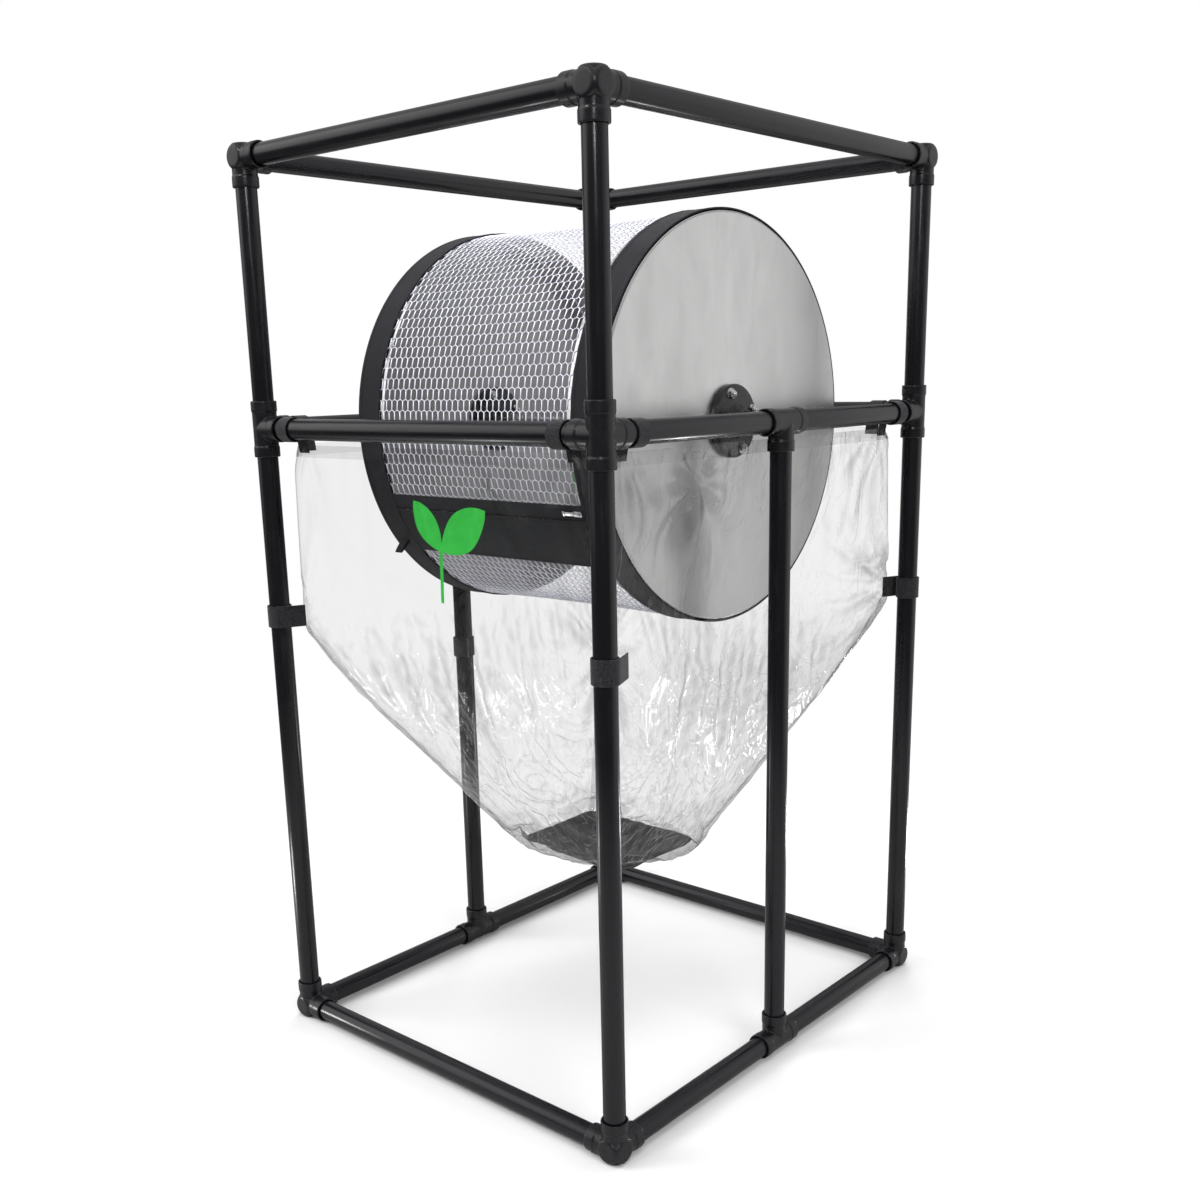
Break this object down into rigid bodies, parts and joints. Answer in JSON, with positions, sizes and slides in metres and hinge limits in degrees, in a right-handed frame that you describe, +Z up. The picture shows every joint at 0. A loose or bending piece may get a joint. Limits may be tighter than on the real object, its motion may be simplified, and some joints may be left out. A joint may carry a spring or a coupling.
{
  "type": "mesh drum tumbler",
  "caption": "Hand-turned compost tumbler: a net-walled steel-ended drum on an axle in a black plastic pipe frame, over a clear funnel-shaped catch bag.",
  "frame": {"origin": "on the floor under the middle of the frame", "axes": "+Z up; X along the drum's axis; -Y is the front, where the drum's door is"},
  "size_m": [0.7596, 0.8716, 1.4706],
  "materials": {
    "pipe_plastic": "glossy black furniture pipe",
    "fitting_plastic": "satin to glossy black moulded fitting",
    "bushing_plastic": "plain acetal",
    "steel_plate": "satin sheet",
    "steel_shaft": "bright ground bar",
    "hub_black": "gloss black",
    "black_fabric": "woven webbing",
    "white_net": "open hexagonal polyester net",
    "zip_metal": "bright zip slider",
    "clear_film": "clear crinkled vinyl film",
    "panel_fabric": "dark grey coated fabric"
  },
  "bodies": {
    "root": {"top_elbow_front_left": "fitting_plastic", "top_elbow_front_right": "fitting_plastic", "top_elbow_back_left": "fitting_plastic", "top_elbow_back_right": "fitting_plastic", "mid_cross_front_left": "fitting_plastic", "mid_cross_front_right": "fitting_plastic", "mid_cross_back_left": "fitting_plastic", "mid_cross_back_right": "fitting_plastic", "bottom_elbow_front_left": "fitting_plastic", "bottom_elbow_front_right": "fitting_plastic", "bottom_elbow_back_left": "fitting_plastic", "bottom_elbow_back_right": "fitting_plastic", "mid_tee_left": "fitting_plastic", "mid_tee_right": "fitting_plastic", "bottom_tee_left": "fitting_plastic", "bottom_tee_right": "fitting_plastic", "upper_post_front_left": "pipe_plastic", "upper_post_front_right": "pipe_plastic", "upper_post_back_left": "pipe_plastic", "upper_post_back_right": "pipe_plastic", "lower_post_front_left": "pipe_plastic", "lower_post_front_right": "pipe_plastic", "lower_post_back_left": "pipe_plastic", "lower_post_back_right": "pipe_plastic", "centre_post_left": "pipe_plastic", "centre_post_right": "pipe_plastic", "top_rail_front": "pipe_plastic", "top_rail_back": "pipe_plastic", "top_rail_left": "pipe_plastic", "top_rail_right": "pipe_plastic", "mid_rail_front": "pipe_plastic", "mid_rail_back": "pipe_plastic", "mid_rail_left_front": "pipe_plastic", "mid_rail_left_back": "pipe_plastic", "mid_rail_right_front": "pipe_plastic", "mid_rail_right_back": "pipe_plastic", "bottom_rail_front": "pipe_plastic", "bottom_rail_back": "pipe_plastic", "bottom_rail_left_front": "pipe_plastic", "bottom_rail_left_back": "pipe_plastic", "bottom_rail_right_front": "pipe_plastic", "bottom_rail_right_back": "pipe_plastic", "axle_bushing_left": "bushing_plastic", "axle_bushing_right": "bushing_plastic", "catch_bag": "clear_film", "bag_bottom": "panel_fabric"},
    "drum": {"end_plate_left": "steel_plate", "end_plate_right": "steel_plate", "rim_band_left": "black_fabric", "rim_band_right": "black_fabric", "mesh_sleeve": "white_net", "zip_tape": "black_fabric", "pull_tab": "black_fabric", "axle": "steel_shaft", "hub_outer_left": "hub_black", "hub_outer_right": "hub_black", "hub_inner_left": "hub_black", "hub_inner_right": "hub_black"},
    "flap": {"door_flap": "black_fabric"},
    "slider": {"zip_slider": "zip_metal"}
  },
  "joints": [
    {"name": "drum_spin", "type": "hinge", "parent": "root", "child": "drum", "pos_m": [0, 0, 1.0378], "axis": [1, 0, 0], "continuous": true},
    {"name": "flap_hinge", "type": "hinge", "parent": "drum", "child": "flap", "pos_m": [0.008, -0.23532, 0.83324], "axis": [1, 0, 0], "range_deg": [0, 50]},
    {"name": "zip_slide", "type": "slide", "parent": "drum", "child": "slider", "axis": [-1, 0, 0], "range_m": [0, 0.38]}
  ]
}
